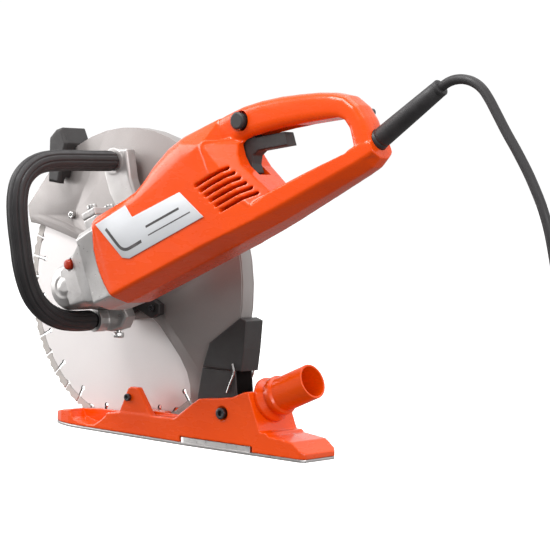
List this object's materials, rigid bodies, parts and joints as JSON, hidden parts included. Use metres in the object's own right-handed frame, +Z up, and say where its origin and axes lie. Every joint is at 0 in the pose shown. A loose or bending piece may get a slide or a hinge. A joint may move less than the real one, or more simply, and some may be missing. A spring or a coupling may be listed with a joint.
{
  "type": "cut-off saw",
  "caption": "Hand-held electric cut-off saw with a large diamond blade in a closed dust guard, on a plunge base with a hose port and a looped front handle.",
  "frame": {"origin": "bottom centre of the saw's own box, without the cord: the floor under the middle of the saw", "axes": "+X to the rear handle, +Y away from the motor, to the guard's cover side, +Z up"},
  "size_m": [1.0779, 0.2552, 0.4215],
  "materials": {
    "orange_shell": "gloss",
    "cast_metal": "satin",
    "guard_metal": "satin",
    "dark_plastic": "matte",
    "black_rubber": "matte",
    "blade_steel": "polished",
    "bright_steel": "satin",
    "dark_steel": "satin",
    "sole_metal": "satin",
    "red_button": "gloss",
    "copper": "satin",
    "label_plate": "satin",
    "carbon": "matte",
    "circuit_board": "matte"
  },
  "bodies": {
    "base": {"base_shell": "orange_shell", "sole_plate": "sole_metal", "sole_screw_1": "dark_steel", "sole_screw_2": "dark_steel", "hose_port": "orange_shell", "ear_bolt": "dark_steel", "pivot_bolt": "dark_steel", "pivot_nut": "dark_steel"},
    "guard": {"guard_shell": "guard_metal", "guard_cover": "guard_metal", "guard_handle": "dark_plastic", "guard_clip": "bright_steel", "guard_clamp": "dark_plastic", "guard_screw": "dark_steel", "dust_chute_upper": "dark_plastic", "dust_chute_lower": "dark_plastic", "chute_clip_near": "bright_steel", "chute_clip_far": "bright_steel"},
    "machine": {"bearing_neck": "cast_metal", "spindle_bearing": "bright_steel", "handle_tube": "dark_steel", "handle_grip": "black_rubber", "handle_bracket_upper": "cast_metal", "bracket_bolt_1": "bright_steel", "bracket_bolt_2": "bright_steel", "handle_bracket_lower": "cast_metal", "clamp_bolt": "bright_steel", "motor_housing_near": "orange_shell", "motor_housing_far": "orange_shell", "housing_screw_1": "dark_steel", "housing_screw_2": "dark_steel", "label_plate": "label_plate", "trigger_pin": "bright_steel", "switch_body": "dark_plastic", "soft_start_module": "circuit_board", "cable_clamp": "dark_plastic", "stator": "dark_steel", "pinion_bearing": "bright_steel", "rear_bearing": "bright_steel", "carbon_brush_near": "carbon", "carbon_brush_far": "carbon", "gear_housing": "cast_metal", "strain_relief": "black_rubber", "power_cord": "black_rubber", "cord_coil": "black_rubber", "power_plug": "black_rubber"},
    "spindle": {"diamond_blade": "blade_steel", "inner_flange": "dark_steel", "outer_flange": "dark_steel", "blade_nut": "dark_steel", "spindle_shaft": "bright_steel", "crown_gear": "dark_steel"},
    "armature": {"armature_shaft": "bright_steel", "armature_core": "copper", "commutator": "copper", "cooling_fan": "dark_plastic", "bevel_pinion": "dark_steel"},
    "trigger": {"trigger": "dark_plastic"},
    "lock_off_button": {"lock_off_button": "dark_plastic"},
    "spindle_lock_button": {"spindle_lock_button": "red_button"}
  },
  "joints": [
    {"name": "plunge", "type": "hinge", "parent": "base", "child": "guard", "pos_m": [0.04772, 0.07962, 0.043], "axis": [0, -1, 0], "range_deg": [0, 27]},
    {"name": "guard_swing", "type": "hinge", "parent": "guard", "child": "machine", "pos_m": [-0.13728, 0.07762, 0.1765], "axis": [0, -1, 0], "range_deg": [-20, 15]},
    {"name": "blade_spin", "type": "hinge", "parent": "machine", "child": "spindle", "pos_m": [-0.13728, 0.07762, 0.1765], "axis": [0, 1, 0], "continuous": true},
    {"name": "armature_spin", "type": "hinge", "parent": "machine", "child": "armature", "pos_m": [-0.13728, -0.02138, 0.1765], "axis": [0.91, 0, 0.4147], "continuous": true},
    {"name": "trigger_squeeze", "type": "hinge", "parent": "machine", "child": "trigger", "pos_m": [0.1355, -0.02138, 0.35685], "axis": [0, -1, 0], "range_deg": [0, 8], "stiffness_Nm_per_rad": 0.6, "springref_deg": -5.73},
    {"name": "lock_off_press", "type": "slide", "parent": "machine", "child": "lock_off_button", "axis": [0, 1, 0], "range_m": [0, 0.004], "stiffness_N_per_m": 200, "springref_m": -0.001},
    {"name": "spindle_lock_press", "type": "slide", "parent": "machine", "child": "spindle_lock_button", "axis": [0, 1, 0], "range_m": [0, 0.004], "stiffness_N_per_m": 300, "springref_m": -0.001}
  ],
  "couplings": [
    {"joint": "armature_spin", "follows": "blade_spin", "ratio": -4}
  ]
}
